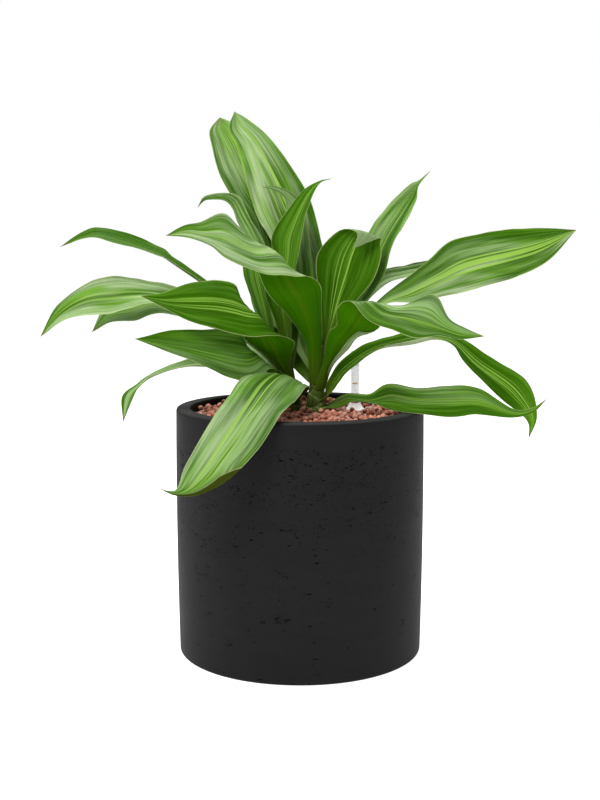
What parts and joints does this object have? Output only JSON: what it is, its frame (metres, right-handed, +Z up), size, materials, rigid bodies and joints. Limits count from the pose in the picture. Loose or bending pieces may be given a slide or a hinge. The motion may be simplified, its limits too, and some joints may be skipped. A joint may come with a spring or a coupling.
{
  "type": "potted corn plant",
  "caption": "Leafy corn plant with arching striped leaves in a round dark planter of clay pebbles, with a float gauge that shows the water level.",
  "frame": {"origin": "centre of the planter's flat foot", "axes": "+Z up along the planter's axis; the pictured front faces -Y, and the gauge stands behind the canes on the +X side"},
  "size_m": [0.538, 0.4261, 0.5534],
  "materials": {
    "fibre_clay": "matt anthracite, finely pitted",
    "clay_pebbles": "matt fired clay",
    "cane_bark": "matt",
    "leaf_green": "satin, striped",
    "gauge_clear": "clear",
    "gauge_skirt": "translucent",
    "float_red": "matt"
  },
  "bodies": {
    "planter": {"pot": "fibre_clay", "pebble_bed": "clay_pebbles", "cane_a": "cane_bark", "cane_b": "cane_bark", "leaf_back_tall": "leaf_green", "leaf_back_left": "leaf_green", "leaf_curled_back": "leaf_green", "leaf_left_upright": "leaf_green", "leaf_centre_tip": "leaf_green", "leaf_young_curl": "leaf_green", "leaf_centre_cup": "leaf_green", "leaf_right_upright": "leaf_green", "leaf_right_long": "leaf_green", "leaf_right_behind": "leaf_green", "leaf_right_fold": "leaf_green", "leaf_right_droop": "leaf_green", "leaf_right_low": "leaf_green", "leaf_front_fold": "leaf_green", "leaf_front_droop": "leaf_green", "leaf_left_fold": "leaf_green", "leaf_left_low": "leaf_green", "leaf_left_far": "leaf_green", "leaf_left_big": "leaf_green", "leaf_left_under": "leaf_green", "leaf_left_thin": "leaf_green", "leaf_rear_left": "leaf_green", "leaf_rear_right": "leaf_green", "leaf_rear_upper": "leaf_green", "leaf_rear_low": "leaf_green", "gauge_tube": "gauge_clear", "gauge_skirt": "gauge_skirt"},
    "float": {"gauge_float": "float_red"}
  },
  "joints": [
    {"name": "float_rise", "type": "slide", "parent": "planter", "child": "float", "axis": [0, 0, 1], "range_m": [0, 0.042]}
  ]
}
